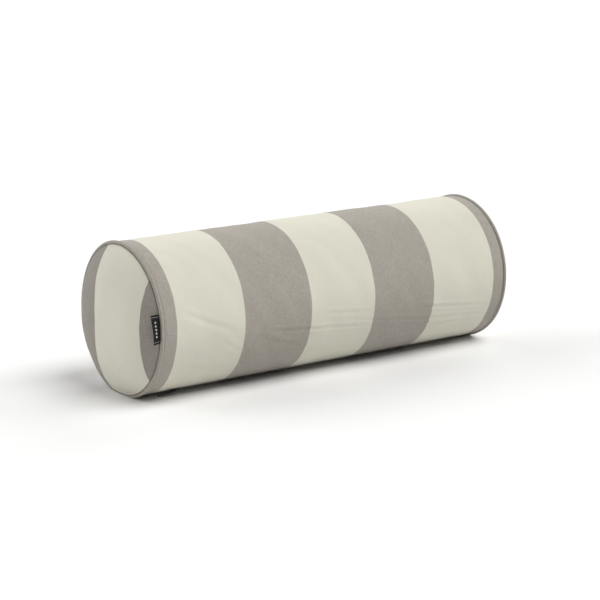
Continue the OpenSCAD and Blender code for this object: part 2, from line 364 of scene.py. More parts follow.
def enamel_material():
    """Black enamel on die-cast zinc, a little rubbed."""
    n = Nodes("black_enamel")
    p = n.scaled(n.coords(), (1000, 1000, 1000))
    a, b = n.noise(p, 0.7, 4.0, 0.6), n.noise(p, 14.0, 2.0)
    scuff = n.math("MULTIPLY", n.range(n.noise(p, 2.6, 5.0, 0.75), 0.66, 0.76), 0.35)
    col = n.mix(scuff, n.mix(a, (0.007, 0.007, 0.008), (0.018, 0.018, 0.020)), (0.10, 0.097, 0.094))
    nrm = n.bump(n.math("ADD", b, n.math("MULTIPLY", a, 2.0)), 0.15, 0.00003)
    rough = n.math("ADD", n.range(a, 0.3, 0.7, 0.42, 0.58), n.math("MULTIPLY", scuff, 0.2))
    return n.finish(col, rough, nrm, Specular_IOR_Level=0.3, Coat_Weight=0.06, Coat_Roughness=0.35)


def label_material():
    """Black damask label: fine cross ribs, two woven border lines and a plain row of diamonds on its outer face."""
    n = Nodes("label_damask")
    u, v, face = n.attr("cu"), n.attr("cv"), n.attr("face")
    rib = n.math("SINE", n.math("MULTIPLY", v, 2 * math.pi / 0.28))
    fuzz = n.noise(n.vec(u, v), 4.0, 3.0, 0.7)
    # the row of diamonds, 4.4 mm apart along the label
    du = n.math("ABSOLUTE", n.math("SUBTRACT", n.math("FRACT", n.math("MULTIPLY_ADD", u, 1 / 4.4, 0.5)), 0.5))
    dv = n.math("ABSOLUTE", n.math("SUBTRACT", v, 6.2))
    dia = n.math("ADD", n.math("MULTIPLY", du, 4.4), dv)
    mark = n.range(dia, 1.35, 1.55, 1.0, 0.0)
    hole = n.range(dia, 0.45, 0.65, 1.0, 0.0)
    mid = n.math("MULTIPLY", n.range(u, -11.1, -11.0), n.range(u, 11.0, 11.1, 1.0, 0.0))
    mark = n.math("MULTIPLY", n.math("SUBTRACT", mark, hole), mid)
    line = n.range(n.math("ABSOLUTE", n.math("SUBTRACT", n.math("ABSOLUTE", u), 15.6)), 0.16, 0.26, 1.0, 0.0)
    light = n.math("MULTIPLY", n.math("MAXIMUM", mark, n.math("MULTIPLY", line, 0.55)), face)
    # the black ground is darker along the troughs of the ribs, painted shade, with a random fuzz tone
    dark = n.mix(n.math("MULTIPLY_ADD", rib, 0.3, fuzz, clamp=True), (0.005, 0.005, 0.0055), (0.017, 0.017, 0.019))
    col = n.mix(light, dark, (0.66, 0.66, 0.64))
    nrm = n.bump(n.math("ADD", rib, n.math("MULTIPLY", light, 1.5)), 0.4, 0.00006)
    return n.finish(col, n.range(fuzz, 0.3, 0.7, 0.6, 0.8), nrm, sheen=(0.02, 0.4, (1, 1, 1)), Specular_IOR_Level=0.2)


def satin_material():
    n = Nodes("care_label_satin")
    u, v = n.attr("cu"), n.attr("cv")
    rib = n.math("SINE", n.math("MULTIPLY", v, 2 * math.pi / 0.25))
    fuzz = n.noise(n.vec(u, v), 1.4, 3.0, 0.6)
    col = n.mix(fuzz, (0.78, 0.78, 0.77), (0.88, 0.88, 0.875))
    return n.finish(col, n.range(fuzz, 0.3, 0.7, 0.3, 0.42), n.bump(rib, 0.3, 0.00004), sheen=(0.2, 0.3, (1, 1, 1)))


def liner_material():
    n = Nodes("liner_weave")
    u, v = n.attr("cu"), n.attr("cv")
    h = weave_height(n, u, v, 1.1)
    yarn = n.noise(n.vec(n.math("MULTIPLY", u, 1.8), n.math("MULTIPLY", v, 0.12)), 1.0, 3.0, 0.6)
    col = n.mix(yarn, (0.74, 0.73, 0.70), (0.86, 0.85, 0.82))
    return n.finish(col, n.range(yarn, 0.3, 0.7, 0.8, 0.92), n.bump(h, 0.4, 0.00018), sheen=(0.1, 0.5, (1, 1, 1)))


def wadding_material():
    n = Nodes("wadding_fibre")
    p = n.scaled(n.coords(), (1000, 1000, 1000))
    fib = n.noise(n.scaled(p, (0.35, 2.6, 2.6)), 1.0, 6.0, 0.75)
    fluff = n.noise(p, 0.12, 4.0, 0.6)
    col = n.mix(fib, (0.80, 0.80, 0.79), (0.93, 0.93, 0.925))
    nrm = n.bump(n.math("ADD", fib, fluff), 0.8, 0.0012)
    return n.finish(col, n.range(fib, 0.3, 0.7, 0.88, 0.98), nrm, sheen=(0.3, 0.6, (1, 1, 1)))


def foam_material():
    n = Nodes("foam_cells")
    p = n.scaled(n.coords(), (1000, 1000, 1000))
    cells = n.voronoi(p, 1.1)
    big = n.noise(p, 0.02, 3.0)
    # each cell is darker in its middle: painted shade in the cell hollows
    col = n.mix(n.range(cells, 0.1, 0.7), (0.60, 0.53, 0.34), (0.86, 0.79, 0.58))
    col = n.gain(col, n.math("MULTIPLY_ADD", big, 0.12, 0.94))
    return n.finish(col, n.range(cells, 0.1, 0.7, 0.95, 0.82), n.bump(cells, 0.6, 0.0006))


m_tape, m_plastic, m_enamel = tape_material(), plastic_material(), enamel_material()
m_label, m_satin, m_liner = label_material(), satin_material(), liner_material()
m_wadding, m_foam = wadding_material(), foam_material()


# ---------------------------------------------------------------- mesh helpers, all in millimetres
def add(name, co, faces, mat, nodes=(), body="pillow", attrs=None, solid=0.0, sub=0, smooth=True, thick_side=-1.0):
    me = bpy.data.meshes.new(name)
    co = np.asarray(co, float)
    if body == "pillow":
        co = skew(co)
    me.from_pydata((co * MM).tolist(), [], [list(map(int, f)) for f in faces])
    me.update()
    for k, v in (attrs or {}).items():
        a = me.attributes.new(k, "FLOAT", "POINT")
        a.data.foreach_set("value", np.asarray(v, np.float32).ravel())
    if smooth:
        me.polygons.foreach_set("use_smooth", [True] * len(me.polygons))
    me.materials.append(mat)
    ob = bpy.data.objects.new(name, me)
    bpy.context.scene.collection.objects.link(ob)
    if solid:
        m = ob.modifiers.new("thickness", "SOLIDIFY")
        m.thickness = solid * MM
        m.offset = thick_side
        m.use_even_offset = True
        m.use_quality_normals = True
    if sub:
        m = ob.modifiers.new("smooth", "SUBSURF")
        m.levels = m.render_levels = sub
    if nodes:
        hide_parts(*nodes)
    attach(ob, body)
    return ob


def grid(nu, nv, close_u=False, close_v=False, flip=False):
    """Faces of an nu by nv grid of points, v fastest."""
    f = []
    for i in range(nu if close_u else nu - 1):
        i2 = (i + 1) % nu
        for j in range(nv if close_v else nv - 1):
            j2 = (j + 1) % nv
            q = [i * nv + j, i * nv + j2, i2 * nv + j2, i2 * nv + j]
            f.append(q[::-1] if flip else q)
    return f


def smooth01(x):
    x = np.clip(x, 0, 1)
    return x * x * (3 - 2 * x)


def skew(p):
    """The cover's left end isn't sewn quite square: above the middle it sits up to 2 mm further in."""
    s = smooth01((-p[:, 0] - 110) / 165)
    p = p.copy()
    p[:, 0] += s * (0.95 + 1.05 * np.tanh((p[:, 2] - ZC) / 55))
    return p


def settle(p, floor=0.0, k=0.9):
    """Pushes what would be under the floor up on to it, softly."""
    z = p[:, 2] - floor
    p[:, 2] = floor + 0.5 * (z + np.sqrt(z * z + k * k))
    return p


def press_zip(p, n_max, k=0.9):
    """Pushes what would stand out further than n_max from the axis, in the zip's direction, back."""
    nx = np.array([0.0, -math.sin(TH), -math.cos(TH)])
    n = (p - np.array([0, 0, ZC])) @ nx
    d = n_max - n
    d2 = 0.5 * (d + np.sqrt(d * d + k * k))
    return p + (d - d2)[:, None] * nx


def around(x, r, th):
    """Points at x, radius r and angle th from straight down towards the front."""
    return np.stack([x + 0 * r + 0 * th, -r * np.sin(th) + 0 * x, ZC - r * np.cos(th) + 0 * x], -1)


def field(x, s, seed, n, lo, hi, round_mm=2 * math.pi * R):
    """Smooth pseudo-random height from -1 to 1 over the sleeve: n waves, each lo to hi mm long. s is mm round the sleeve."""
    g = np.random.default_rng(seed)
    out = np.zeros(np.broadcast(x, s).shape)
    for _ in range(n):
        lam = math.exp(g.uniform(math.log(lo), math.log(hi)))
        a = g.uniform(0, 2 * math.pi)
        kx = math.cos(a) / lam
        m = round(math.sin(a) / lam * round_mm)
        out += np.sin(2 * math.pi * (kx * x + m * s / round_mm) + g.uniform(0, 2 * math.pi))
    return out / math.sqrt(n)


# ---------------------------------------------------------------- cover sleeve
def crease(x, s, pts, width, depth, seed=0):
    """A soft fold along a line of points (x mm, angle in degrees). Depth is in mm and fades towards the ends."""
    P = np.array([[a, math.radians(b) * R] for a, b in pts], float)
    best = np.full(x.shape, 1e9)
    side = np.zeros(x.shape)
    along = np.zeros(x.shape)
    seg = np.linalg.norm(np.diff(P, axis=0), axis=1)
    run = np.concatenate([[0], np.cumsum(seg)])
    for i in range(len(P) - 1):
        d = (P[i + 1] - P[i]) / seg[i]
        rx, rs = x - P[i, 0], s - P[i, 1]
        t = np.clip(rx * d[0] + rs * d[1], 0, seg[i])
        ex, es = rx - t * d[0], rs - t * d[1]
        dist = np.hypot(ex, es)
        m = dist < best
        best = np.where(m, dist, best)
        side = np.where(m, np.sign(d[0] * rs - d[1] * rx), side)
        along = np.where(m, (run[i] + t) / run[-1], along)
    g = np.random.default_rng(seed)
    ph = g.uniform(0, 6.28, 3)
    wob = 1 + 0.22 * np.sin(along * 9 + ph[0]) + 0.13 * np.sin(along * 23 + ph[1])
    fade = smooth01(along / 0.22) * smooth01((1 - along) / 0.22)
    q = best / width
    groove = -np.exp(-q * q)
    ridge = 0.75 * np.exp(-(((q - 1.7) / 1.15) ** 2)) * (side > 0) + 0.30 * np.exp(-(((q - 1.7) / 1.2) ** 2)) * (side < 0)
    return depth * wob * fade * (groove + ridge)


CREASES = [  # points (x, angle from straight down), width, depth
    ([(-256, 106), (-216, 94.5), (-190, 88.5), (-163, 81)], 4.2, 0.28),
    ([(-190, 78), (-172, 71), (-153, 64)], 3.4, 0.20),
    ([(-128, 79.5), (-97, 77.8), (-52, 75), (14, 71.5), (58, 68.5)], 2.6, 0.47),
    ([(-40, 86), (5, 83.5), (56, 80)], 3.0, 0.19),
    ([(40, 74), (100, 69.4), (158, 65)], 2.6, 0.34),
    ([(120, 78), (165, 75), (202, 72.8), (262, 69)], 2.8, 0.38),
    ([(118, 68.4), (151, 66), (200, 63.2), (258, 60)], 2.6, 0.36),
    ([(110, 62.5), (156, 59.3), (204, 56.8), (268, 53)], 2.4, 0.50),
    ([(-140, 78), (-100, 68), (-60, 61)], 4.2, 0.30),
    ([(-70, 58), (-20, 52), (40, 47)], 4.4, 0.26),
    ([(-255, 62), (-215, 57), (-170, 50)], 4.0, 0.30),
    ([(60, 52), (120, 47), (190, 42)], 3.6, 0.30),
    # round the back and the top, fainter
    ([(-240, 300), (-150, 306), (-60, 311)], 3.4, 0.50),
    ([(-120, 292), (-20, 297), (90, 303)], 2.8, 0.45),
    ([(30, 287), (120, 291), (230, 297)], 3.2, 0.50),
    ([(-262, 268), (-200, 262), (-140, 255)], 4.2, 0.30),
    ([(140, 262), (205, 268), (262, 273)], 4.0, 0.30),
    ([(-60, 318), (30, 323), (130, 328)], 3.0, 0.40),
]


def sleeve_relief(x, s):
    """How far the cloth stands off the ideal cylinder, in mm, at x and s = angle * R."""
    th = s / R
    low = smooth01((math.cos(math.radians(95)) * -1 + np.cos(th)) / 1.05)  # 0 on top, 1 underneath
    d = 0.30 * field(x, s, 5, 9, 90, 260)
    d += (0.05 + 0.13 * low) * field(x, s, 8, 10, 26, 80)
    for i, (pts, w, dep) in enumerate(CREASES):
        d += crease(x, s, pts, 0.88 * w, 1.65 * dep, 40 + i)
    e = L2 - np.abs(x)
    # puckers where the sleeve is eased on to the end seams
    pk = np.sin(s * 2 * math.pi / (2 * math.pi * R / 52) + 0.9 * np.sin(s / 31.0) + np.where(x < 0, 0.0, 1.7))
    pk2 = np.sin(s * 2 * math.pi / (2 * math.pi * R / 83) + 1.3 * np.sin(s / 17.0) + np.where(x < 0, 2.0, 0.4))
    d += (0.13 * pk + 0.07 * pk2) * np.exp(-((e / 9.0) ** 1.3))
    return d * smooth01(e / 5.0 + 0.25)


def spaced(a, b, step_fn):
    """Points from a to b, with a local step given by step_fn."""
    out = [a]
    while out[-1] < b:
        out.append(out[-1] + step_fn(out[-1]))
    out = np.array(out)
    return a + (out - a) * (b - a) / (out[-1] - a)


def slot_gap(x):
    """Half the gap between the two turned edges at x, in mm."""
    t = np.clip((np.abs(x) - (SLOT - 5)) / 4.6, 0, 1)
    return 0.10 + 4.45 * np.sqrt(np.clip(1 - t * t, 0, 1))


def cloth_relief():
    """Blender cloth run on the sleeve before it is cut into the fine mesh.

    A tube of cloth cut 0.6 percent wider and 0.4 percent longer than the insert is held along both end seams and
    the zip, turned 2 degrees from end to end as the cover sits on its insert, and blown out from inside. What is
    left of it is the relief of drag lines and puckers, on a grid along the pillow and round it.
    """
    nx, nt, sc = 112, 136, 10.0
    xs = np.linspace(-276.5, 276.5, nx)
    X, T = np.meshgrid(xs, 2 * math.pi * np.arange(nt) / nt, indexing="ij")
    e = 276.5 - np.abs(X)
    start = 99.5 + 0.15 * field(X, T * R, 3, 16, 20, 60) * np.clip(e / 15, 0, 1)
    ini = around(X, start, T + TH + math.radians(2.0) * X / 276.5)
    rest = around(X * 1.004, 99.5 * 1.006 + 0 * X, T + TH)
    me = bpy.data.meshes.new("sleeve_run")
    me.from_pydata((ini.reshape(-1, 3) * MM * sc).tolist(), [], grid(nx, nt, close_v=True, flip=True))
    me.update()
    ob = bpy.data.objects.new("sleeve_run", me)
    bpy.context.scene.collection.objects.link(ob)
    ob.shape_key_add(name="Basis")
    key = ob.shape_key_add(name="cut")
    key.data.foreach_set("co", (rest.reshape(-1, 3) * MM * sc).astype(np.float32).ravel())
    key.value = 0
    near = np.minimum(T * R, 2 * math.pi * R - T * R)
    held = (e < 1) | ((near < 7) & (np.abs(X) < 242))
    ob.vertex_groups.new(name="held").add(np.nonzero(held.ravel())[0].tolist(), 1.0, "ADD")
    mod = ob.modifiers.new("cloth", "CLOTH")
    c = mod.settings
    c.quality, c.mass = 6, 0.3
    c.tension_stiffness, c.compression_stiffness, c.shear_stiffness, c.bending_stiffness = 40, 40, 15, 0.2
    c.tension_damping, c.compression_damping, c.shear_damping, c.bending_damping = 8, 8, 8, 0.5
    c.air_damping = 2
    c.vertex_group_mass = "held"
    c.rest_shape_key = key
    c.use_pressure, c.uniform_pressure_force = True, 2.0
    c.effector_weights.gravity = 0
    mod.collision_settings.use_collision = False
    mod.point_cache.frame_start, mod.point_cache.frame_end = 1, 20
    scene = bpy.context.scene
    for f in range(1, 17):
        scene.frame_set(f)
    ev = ob.evaluated_get(bpy.context.evaluated_depsgraph_get())
    m = ev.to_mesh()
    p = np.zeros(nx * nt * 3, np.float32)
    m.vertices.foreach_get("co", p)
    ev.to_mesh_clear()
    bpy.data.objects.remove(ob)
    bpy.data.meshes.remove(me)
    scene.frame_set(1)
    p = p.reshape(nx, nt, 3).astype(float) / MM / sc
    d = np.hypot(p[..., 1], p[..., 2] - ZC) - 99.5

    def blurred(a, mm):
        """Gaussian blur, round the tube and, mirrored, along it."""
        big = np.concatenate([a[::-1], a, a[::-1]])
        kx = np.fft.fftfreq(len(big), xs[1] - xs[0])[:, None]
        kt = np.fft.fftfreq(nt, 2 * math.pi * R / nt)[None]
        g = np.exp(-2 * (math.pi * mm) ** 2 * (kx**2 + kt**2))
        return np.fft.ifft2(np.fft.fft2(big) * g).real[nx : 2 * nx]

    d = blurred(d, 2.2) - blurred(d, 26.0)
    fade = smooth01(e / 10) * smooth01((near - 8) / 16)
    return xs, np.clip(d * 3.4, -0.9, 0.9) * fade


def sampled(xs, d, x, s):
    """Catmull-Rom reading of the relief d at x and s = angle * R, periodic round the pillow."""
    nx, nt = d.shape
    u = np.clip((x - xs[0]) / (xs[1] - xs[0]), 0, nx - 1.001)
    v = (s / R - TH) / (2 * math.pi) * nt
    i, j = np.floor(u).astype(int), np.floor(v).astype(int)
    fu, fv = u - i, v - j

    def w(t):
        return (-0.5 * t + t**2 - 0.5 * t**3, 1 - 2.5 * t**2 + 1.5 * t**3, 0.5 * t + 2 * t**2 - 1.5 * t**3, -0.5 * t**2 + 0.5 * t**3)

    wu, wv = w(fu), w(fv)
    out = 0
    for a in range(4):
        for b in range(4):
            out = out + wu[a] * wv[b] * d[np.clip(i + a - 1, 0, nx - 1), (j + b - 1) % nt]
    return out


def build_sleeve(sim=None):
    def xstep(x):
        e = L2 - abs(x)
        if e < 9:
            return 1.15
        if abs(abs(x) - SLOT) < 6:
            return 1.3
        return 3.7

    xs = spaced(-276.9, 276.9, xstep)
    total = 2 * math.pi * R

    def sstep(o):  # o is mm round from the zip, front side first
        front = 5 < o < 215
        near = min(o, total - o)
        return 1.1 if near < 10 else (1.9 if front else 3.3)

    o = spaced(0.0, total, sstep)[1:-1]
    o = o[(o > 6.2) & (o < total - 6.2)]
    lip = np.radians([90, 58, 25, -8, -42, -90])  # round the fold, from the face to behind it
    rb = 0.82
    rows = []
    cu, cv = [], []
    for x in xs:
        g = slot_gap(x)
        end_dip = 0.55 * math.exp(-(((276.9 - abs(x)) / 2.0) ** 2))
        pts_o, pts_n, pv = [], [], []
        # front side: hem, fold, face; rear side the same, mirrored
        hem = [(g + 8.2, R - 1.66), (g + 5.2, R - 1.66), (g + 2.6, R - 1.66)]
        fold = [(g + rb - rb * math.cos(a), R - rb + rb * math.sin(a)) for a in lip[::-1]]
        k = o.copy()
        w = smooth01((k - 6.2) / 10.0)
        w2 = smooth01((total - 6.2 - k) / 10.0)
        shift = (g + rb + 0.35) - 6.2
        kk = k + shift * np.exp(-((k - 6.2) / 3.2)) * 1.0 - shift * np.exp(-((total - 6.2 - k) / 3.2))
        s = TH * R + kk
        n_face = R + sleeve_relief(np.full_like(s, x), s) * np.minimum(w, w2)
        if sim is not None:
            n_face += sampled(*sim, np.full_like(s, x), s)
        # a slight roll of the cloth down towards the zip
        n_face -= 0.35 * np.exp(-((kk - g) / 6.0) ** 2) + 0.35 * np.exp(-((total - kk - g) / 6.0) ** 2)
        fr = [(a, b) for a, b in hem] + [(a, b - 0.3) for a, b in fold[:-1]]
        ff = list(zip(kk.tolist(), n_face.tolist()))
        rr = [(total - a, b) for a, b in fr[::-1]]
        seq = np.array(fr + ff + rr)
        th = TH + seq[:, 0] / R
        n = seq[:, 1] - end_dip
        rows.append(around(np.full_like(th, x), n, th))
        cu.append(np.full(len(seq), x))
        dist = np.concatenate([[0], np.cumsum(np.hypot(np.diff(seq[:, 0]), np.diff(seq[:, 1])))])
        cv.append(dist)
    nv = len(rows[0])
    co = np.concatenate(rows)
    co = settle(co, 0.0, 0.7)
    ob = add(
        "sleeve_cloth", co, grid(len(xs), nv, flip=True), m_sleeve, ["cover_sleeve"],
        attrs={"cu": np.concatenate(cu), "cv": np.concatenate(cv)}, solid=0.8,
    )
    return ob


sleeve = build_sleeve(cloth_relief())


# ---------------------------------------------------------------- end panels
def crown(r):
    return CROWN_X + CROWN_H * (1 - (r / RIM) ** CROWN_N)


def revolve(profile, nseg, relief=None):
    """profile is a list of (r, x); the last may have r = 0. Returns points (ring by ring), the faces and the angles."""
    prof = np.array(profile, float)
    th = np.linspace(0, 2 * math.pi, nseg, endpoint=False)
    closed = prof[-1, 0] < 1e-6
    body = prof[:-1] if closed else prof
    co = np.concatenate([around(np.full(nseg, x), np.full(nseg, r), th) for r, x in body])
    faces = grid(len(body), nseg, close_v=True)
    if closed:
        co = np.vstack([co, [[prof[-1, 1], 0, ZC]]])
        c, base = len(co) - 1, (len(body) - 1) * nseg
        faces += [[base + j, base + (j + 1) % nseg, c] for j in range(nseg)]
    return co, faces, th


def resample(points, step):
    """A smooth line through points, sampled evenly."""
    p = np.array(points, float)
    d = np.concatenate([[0], np.cumsum(np.linalg.norm(np.diff(p, axis=0), axis=1))])
    t = np.linspace(0, d[-1], max(3, int(d[-1] / step) + 1))
    return np.stack([np.interp(t, d, p[:, i]) for i in range(2)], -1), t


def end_panel(left):
    turned = [(97.3, 267.5), (97.3, 271.0), (97.25, 274.5), (96.9, 276.2), (96.45, 277.6), (96.3, 278.7), (96.3, 279.9), (96.45, 281.0), (96.85, 281.85)]
    dome_r = 97.4 * (1 - np.linspace(0, 1, 48) ** 1.12)
    prof = turned + [(r, crown(r)) for r in dome_r]
    co, faces, th = revolve(prof, 288)
    prof = np.array(prof)
    rr = np.hypot(co[:, 1], co[:, 2] - ZC)
    ang = np.arctan2(-co[:, 1], -(co[:, 2] - ZC))
    y, z = co[:, 1].copy(), co[:, 2] - ZC
    on_dome = np.arange(len(co)) >= len(turned) * 288
    s = ang * R
    sd = 1 if left else 2
    rel = 0.55 * field(y, z, 60 + sd, 8, 70, 190, 1e9) + 0.16 * field(y, z, 70 + sd, 9, 22, 60, 1e9)
    e = 97.6 - rr
    pk = np.sin(ang * 46 + 1.2 * np.sin(ang * 5 + sd)) * 0.6 + 0.4 * np.sin(ang * 71 + 1.7 * np.sin(ang * 3))
    rel = rel * smooth01(e / 22) + 0.30 * pk * np.exp(-e / 7.5) * smooth01(e / 2.5)
    if left:  # two soft folds low on the panel, as the cloth is eased round the curve
        for (y0, z0, y1, z1, w, dep) in ((-46, -76, -12, -38, 5.0, -0.5), (-30, -84, -2, -56, 4.0, -0.4), (20, -80, 34, -44, 5.0, -0.3), (-64, 58, -40, 74, 5.0, -0.25)):
            d = np.array([y1 - y0, z1 - z0], float)
            ln = np.linalg.norm(d)
            d /= ln
            t = np.clip((y - y0) * d[0] + (z - z0) * d[1], 0, ln)
            q = np.hypot(y - y0 - t * d[0], z - z0 - t * d[1]) / w
            rel += dep * np.sin(math.pi * t / ln) * np.exp(-q * q)
    co[:, 0] += np.where(on_dome, rel, 0)
    co[:, 0] *= 1.0
    if left:
        co[:, 0] *= -1
        faces = [f[::-1] for f in faces]
    settle(co, 1.4, 0.5)
    name = "end_cloth_left" if left else "end_cloth_right"
    ob = add(
        name, co, [f[::-1] for f in faces], m_left if left else m_right,
        ["end_panel_left" if left else "end_panel_right"],
        attrs={"cu": y, "cv": z}, solid=0.8,
    )
    return ob


end_panel(True)
end_panel(False)


# ---------------------------------------------------------------- piping
def piping(left):
    """The covering strip: a tube round the cord with its two edges sewn together as a flange that goes inside."""
    nseg = 420
    th = np.linspace(0, 2 * math.pi, nseg, endpoint=False)
    root = math.radians(208)  # where the flange leaves the tube, 180 is towards the sleeve, 270 towards the axis
    half = math.radians(8)
    arc = np.linspace(root + half, root + 2 * math.pi - half, 24)
    outer = [(PRC + PR * math.sin(a), PX + PR * math.cos(a)) for a in arc]
    inner = [(PRC + (PR - 0.7) * math.sin(a), PX + (PR - 0.7) * math.cos(a)) for a in arc[::-1]]
    # flange: from the root under the sleeve's edge
    f_out = [(97.95, 276.4), (98.35, 274.8), (98.4, 271.0), (98.4, 266.5)]
    f_in = [(97.85, 266.5), (97.85, 271.0), (97.75, 274.6), (97.0, 276.3)]
    loop = outer + inner[:1] + inner[1:]
    # the section is one closed line: outer face, flange, then the bore as a second closed line
    sec1 = outer + f_out[:0]
    line = [*outer, *[(97.55, 277.75)], *f_in[::-1][:1], *f_in[::-1][1:], *f_out[::-1], *[(98.2, 277.30)]]
    line = np.array(line)
    bore = np.array([(PRC + (PR - 0.7) * math.sin(a), PX + (PR - 0.7) * math.cos(a)) for a in np.linspace(0, 2 * math.pi, 20, endpoint=False)])
    co_all, faces_all, cu, cv = [], [], [], []
    base = 0
    for k, sec in enumerate((line, bore)):
        m = len(sec)
        d = np.concatenate([[0], np.cumsum(np.linalg.norm(np.diff(sec, axis=0), axis=1))])
        r = np.repeat(sec[:, 0][None], nseg, 0)
        x = np.repeat(sec[:, 1][None], nseg, 0)
        t = np.repeat(th[:, None], m, 1)
        if k == 0:
            a = np.arctan2(r - PRC, x - PX)
            on = (np.hypot(r - PRC, x - PX) > PR - 0.3) & (np.hypot(r - PRC, x - PX) < PR + 0.3)
            # slanting drag lines of the bias-cut strip, and a slow change of thickness
            sd = 3.0 if left else 9.0
            w = 0.075 * np.sin(t * 88 + 2.2 * a + sd) * (0.6 + 0.4 * np.sin(t * 7 + sd)) + 0.05 * np.sin(t * 143 - 1.4 * a) + 0.09 * np.sin(t * 5 + sd)
            r = r + np.where(on, w * np.sin(a), 0)
            x = x + np.where(on, w * np.cos(a), 0)
        co_all.append(around(x.ravel(), r.ravel(), t.ravel()))
        cu.append((t * PRC).ravel())
        cv.append(np.repeat(d[None], nseg, 0).ravel())
        f = grid(nseg, m, close_u=True, close_v=True, flip=(k == 0))
        faces_all += [[base + i for i in q] for q in f]
        base += nseg * m
    co = np.concatenate(co_all)
    if left:
        co[:, 0] *= -1
        faces_all = [f[::-1] for f in faces_all]
    settle(co, 0.0, 0.7)
    side = "left" if left else "right"
    ob = add(f"piping_strip_{side}", co, faces_all, m_piping, [f"piping_cover_{side}"], attrs={"cu": np.concatenate(cu), "cv": np.concatenate(cv)})
    # the cord inside: three plies
    nseg2, m2 = 360, 18
    tt = np.linspace(0, 2 * math.pi, nseg2, endpoint=False)[:, None]
    a = np.linspace(0, 2 * math.pi, m2, endpoint=False)[None]
    rad = 1.56 + 0.12 * np.cos(3 * (a - tt * 26))
    r, x = PRC + rad * np.sin(a), PX + rad * np.cos(a)
    t = np.repeat(tt, m2, 1)
    co = around(x.ravel(), r.ravel(), t.ravel())
    f = grid(nseg2, m2, close_u=True, close_v=True, flip=True)
    if left:
        co[:, 0] *= -1
        f = [q[::-1] for q in f]
    settle(co, 0.75, 0.4)
    add(f"piping_core_{side}", co, f, m_cord, [f"piping_cord_{side}"], attrs={"cu": (t * PRC).ravel(), "cv": np.repeat(a * 1.6, nseg2, 0).ravel()})


piping(True)
piping(False)


# ---------------------------------------------------------------- stitches
def stitch_row(centre, tangent, out, lengths, radius, rise, sides=6, rings=7):
    """One short thread per row of centre: each dives into the cloth at both ends. All are arrays of points and unit vectors."""
    n = len(centre)
    t = np.linspace(-1, 1, rings)
    along = (t[None, :, None] * lengths[:, None, None] / 2) * tangent[:, None, :]
    up = ((np.cos(t * math.pi / 2) ** 0.6) * (rise + radius * 1.6) - radius * 1.6)[None, :, None] * out[:, None, :]
    spine = centre[:, None, :] + along + up
    side = np.cross(tangent, out)
    a = np.linspace(0, 2 * math.pi, sides, endpoint=False)
    thin = np.sqrt(np.clip(1.12 - t * t * 0.75, 0.1, 1))
    ringv = (np.cos(a)[None, None, :, None] * side[:, None, None, :] + np.sin(a)[None, None, :, None] * out[:, None, None, :]) * radius * thin[None, :, None, None]
    co = (spine[:, :, None, :] + ringv).reshape(-1, 3)
    one = grid(rings, sides, close_v=True)
    one += [list(range(sides))[::-1], [(rings - 1) * sides + j for j in range(sides)]]
    faces = [[i + k * rings * sides for i in q] for k in range(n) for q in one]
    cu = np.repeat((t[None] * lengths[:, None] / 2)[:, :, None], sides, 2).ravel()
    cv = np.tile(a * radius, n * rings)
    return co, faces, cu, cv


def ring_stitches(name, node, x, r, pitch, radius, seed, tilt, floor):
    """Stitches round an end seam, on the sleeve side and on the panel side."""
    parts, base = [], 0
    left = x[0] < 0
    g = np.random.default_rng(seed)
    for xi, ri, ti in zip(x, r, tilt):
        n = int(2 * math.pi * ri / pitch)
        th = (np.arange(n) + 0.5) * 2 * math.pi / n
        c = around(np.full(n, xi), np.full(n, ri), th)
        tan = np.stack([np.zeros(n), -np.cos(th), np.sin(th)], -1)
        rad = np.stack([np.zeros(n), -np.sin(th), -np.cos(th)], -1)
        ax = np.array([1.0 if xi > 0 else -1.0, 0, 0])[None]
        out = math.cos(ti) * rad + math.sin(ti) * ax
        c = c + out * g.normal(0, 0.03, (n, 1))
        co, f, cu, cv = stitch_row(c, tan, out, np.full(n, pitch * 0.86) * g.uniform(0.95, 1.04, n), radius, 0.32)
        parts.append((co, [[i + base for i in q] for q in f], cu, cv))
        base += len(co)
    co = np.concatenate([p[0] for p in parts])
    settle(co, floor, 0.3)
    add(name, co, sum([p[1] for p in parts], []), m_thread_grey, [node], attrs={"cu": np.concatenate([p[2] for p in parts]), "cv": np.concatenate([p[3] for p in parts])})


ring_stitches("end_stitches_left", "seam_thread_left", (-276.95, -282.7), (99.35, 97.0), 3.6, 0.26, 11, (0.5, 0.9), 0.1)
ring_stitches("end_stitches_right", "seam_thread_right", (276.95, 282.7), (99.35, 97.0), 3.6, 0.26, 12, (0.5, 0.9), 0.1)


def zip_stitches(side):
    """Topstitching that holds a zip tape to the turned edge of the sleeve."""
    g = np.random.default_rng(21 + side)
    pitch = 3.4
    n = int(2 * (SLOT - 1) / pitch)
    x = -SLOT + 1 + (np.arange(n) + 0.5) * 2 * (SLOT - 1) / n
    off = 7.1 + g.normal(0, 0.05, n)
    th = TH - side * off / R
    rr = np.full(n, R - 0.10)
    c = around(x, rr, th)
    rad = np.stack([np.zeros(n), -np.sin(th), -np.cos(th)], -1)
    tan = np.repeat(np.array([[1.0, 0, 0]]), n, 0)
    co, f, cu, cv = stitch_row(c, tan, rad, np.full(n, pitch * 0.84) * g.uniform(0.95, 1.04, n), 0.24, 0.30)
    settle(co, 0.1, 0.3)
    s = "rear" if side > 0 else "front"
    add(f"zip_stitches_{s}", co, f, m_thread, [f"zip_thread_{s}"], attrs={"cu": cu, "cv": cv})


zip_stitches(1)
zip_stitches(-1)


# ---------------------------------------------------------------- zip
def zip_place(p):
    """From zip coordinates (x, across towards the rear, out of the cloth from the axis) to the row frame."""
    p = np.asarray(p, float)
    x, y, n = p[..., 0], p[..., 1], p[..., 2]
    c, s = math.cos(TH), math.sin(TH)
    return np.stack([x, y * c - n * s, ZC - y * s - n * c], -1)


